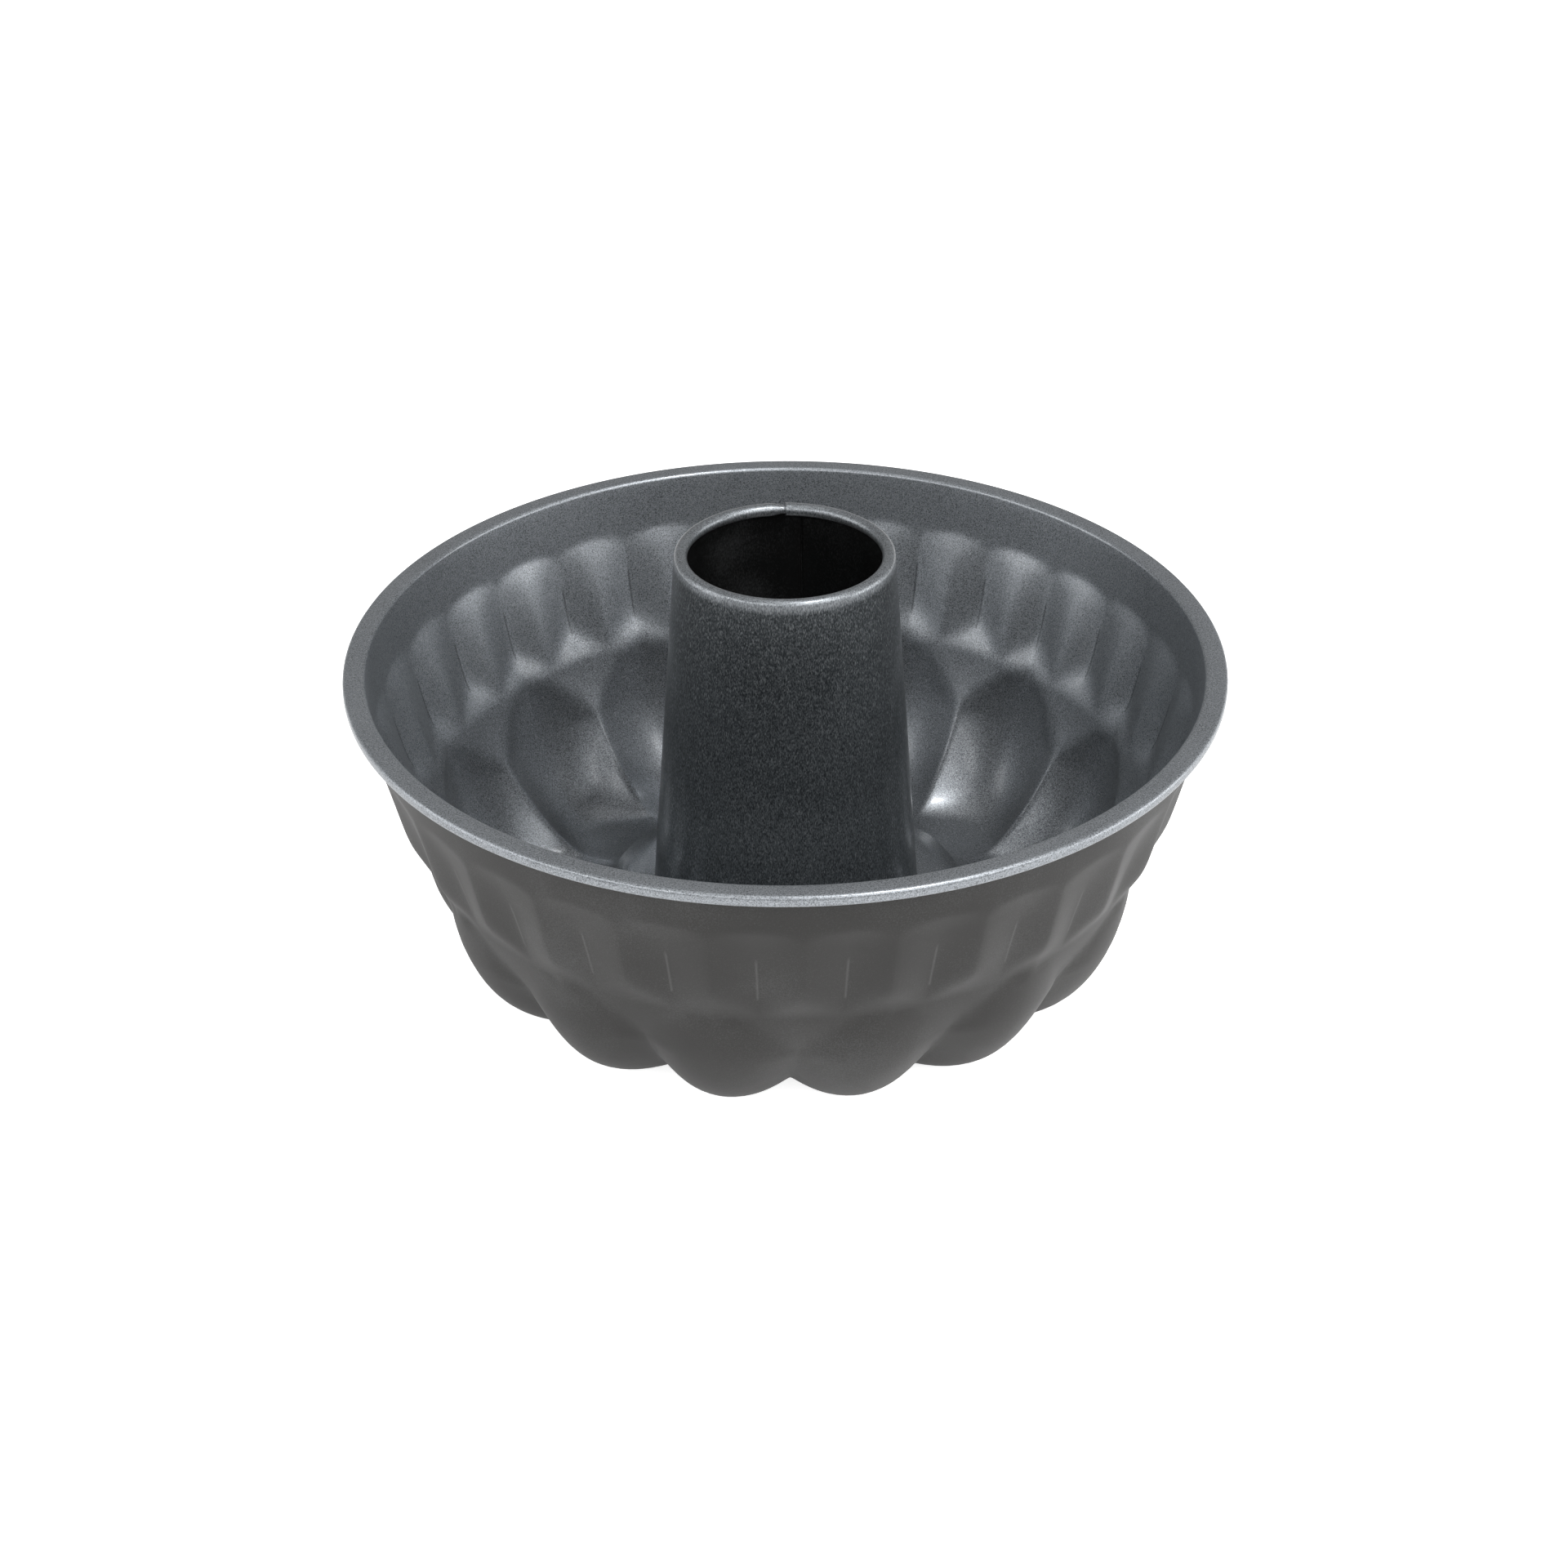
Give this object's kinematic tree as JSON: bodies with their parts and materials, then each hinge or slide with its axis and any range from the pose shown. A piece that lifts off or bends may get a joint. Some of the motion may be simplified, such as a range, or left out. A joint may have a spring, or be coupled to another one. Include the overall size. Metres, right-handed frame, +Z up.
{
  "type": "bundt pan",
  "caption": "Fluted ring cake pan of dark coated sheet steel, with rounded lobes, a zigzag collar, a rolled rim and a tapered open centre tube taller than the rim.",
  "frame": {"origin": "On the plane the lobes rest on, under the axis of the centre tube", "axes": "+Z runs up the tube's axis to its mouth; the top of a rib between two lobes faces -Y and the top of a lobe faces +Y"},
  "size_m": [0.22, 0.22, 0.1121],
  "materials": {
    "coated_steel": "Dark blue-grey non-stick coating with a fine metallic grain, satin on the outside",
    "tube_steel": "The same dark coating on rolled sheet, with a faint upright grain"
  },
  "bodies": {
    "root": {"bowl": "coated_steel", "centre_tube": "tube_steel"}
  },
  "joints": []
}
